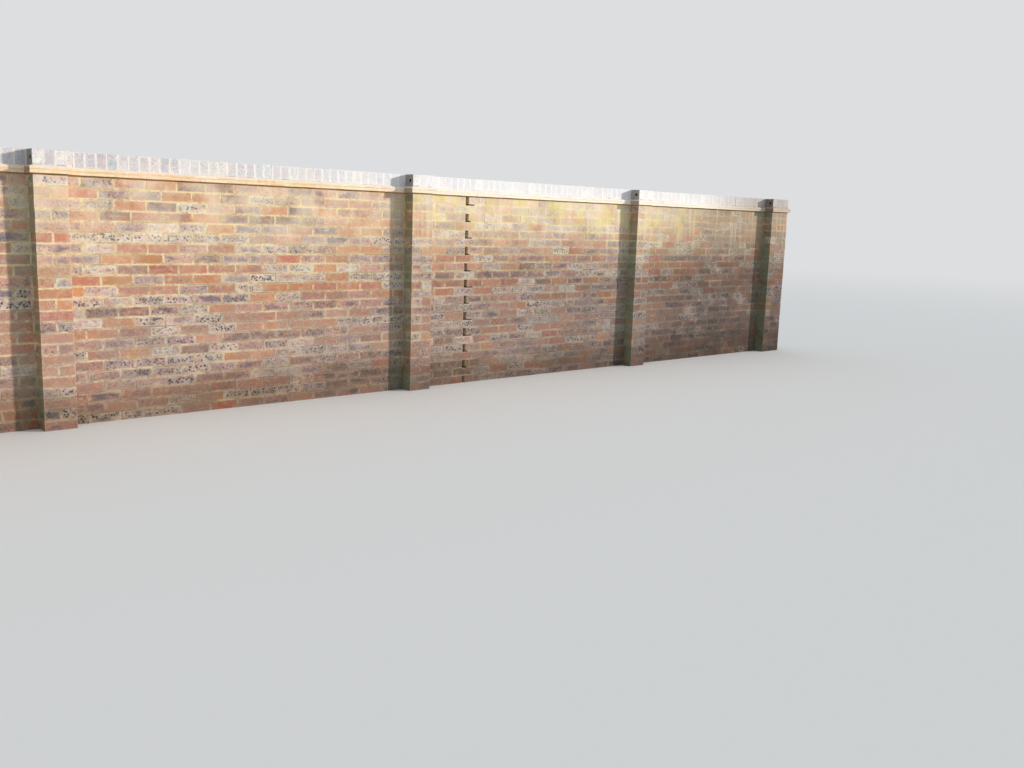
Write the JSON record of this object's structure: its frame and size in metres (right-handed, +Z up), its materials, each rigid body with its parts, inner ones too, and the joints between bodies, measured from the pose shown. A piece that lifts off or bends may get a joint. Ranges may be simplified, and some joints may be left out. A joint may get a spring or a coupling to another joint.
{
  "type": "brick garden wall in bays between piers, with tile creasing and brick-on-edge coping",
  "caption": "Free-standing garden wall of stretcher-bond brick in bays between projecting piers, with oversailing tile creasing, brick-on-edge coping and a toothed joint in one bay",
  "frame": {"origin": "on the ground, in the middle of the wall's length and depth over everything that stands proud", "axes": "+X along the wall to the right as seen from the garden, +Y from the garden side into the wall, +Z up"},
  "size_m": [11.965, 0.3774, 1.8795],
  "materials": {
    "brick": "rough",
    "creasing_tile": "rough",
    "coping_brick": "rough"
  },
  "bodies": {
    "root": {"bay_1_coping": "coping_brick", "bay_1_lower_creasing": "creasing_tile", "bay_1_panel": "brick", "bay_1_upper_creasing": "creasing_tile", "bay_2_coping": "coping_brick", "bay_2_lower_creasing": "creasing_tile", "bay_2_panel": "brick", "bay_2_upper_creasing": "creasing_tile", "bay_3_left_coping": "coping_brick", "bay_3_left_lower_creasing": "creasing_tile", "bay_3_left_panel": "brick", "bay_3_left_upper_creasing": "creasing_tile", "bay_3_right_coping": "coping_brick", "bay_3_right_lower_creasing": "creasing_tile", "bay_3_right_panel": "brick", "bay_3_right_upper_creasing": "creasing_tile", "bay_4_coping": "coping_brick", "bay_4_lower_creasing": "creasing_tile", "bay_4_panel": "brick", "bay_4_upper_creasing": "creasing_tile", "pier_1_coping": "coping_brick", "pier_1_lower_creasing": "creasing_tile", "pier_1_shaft": "brick", "pier_1_upper_creasing": "creasing_tile", "pier_2_coping": "coping_brick", "pier_2_lower_creasing": "creasing_tile", "pier_2_shaft": "brick", "pier_2_upper_creasing": "creasing_tile", "pier_3_coping": "coping_brick", "pier_3_lower_creasing": "creasing_tile", "pier_3_shaft": "brick", "pier_3_upper_creasing": "creasing_tile", "pier_4_coping": "coping_brick", "pier_4_lower_creasing": "creasing_tile", "pier_4_shaft": "brick", "pier_4_upper_creasing": "creasing_tile", "pier_5_coping": "coping_brick", "pier_5_lower_creasing": "creasing_tile", "pier_5_shaft": "brick", "pier_5_upper_creasing": "creasing_tile"}
  },
  "joints": []
}
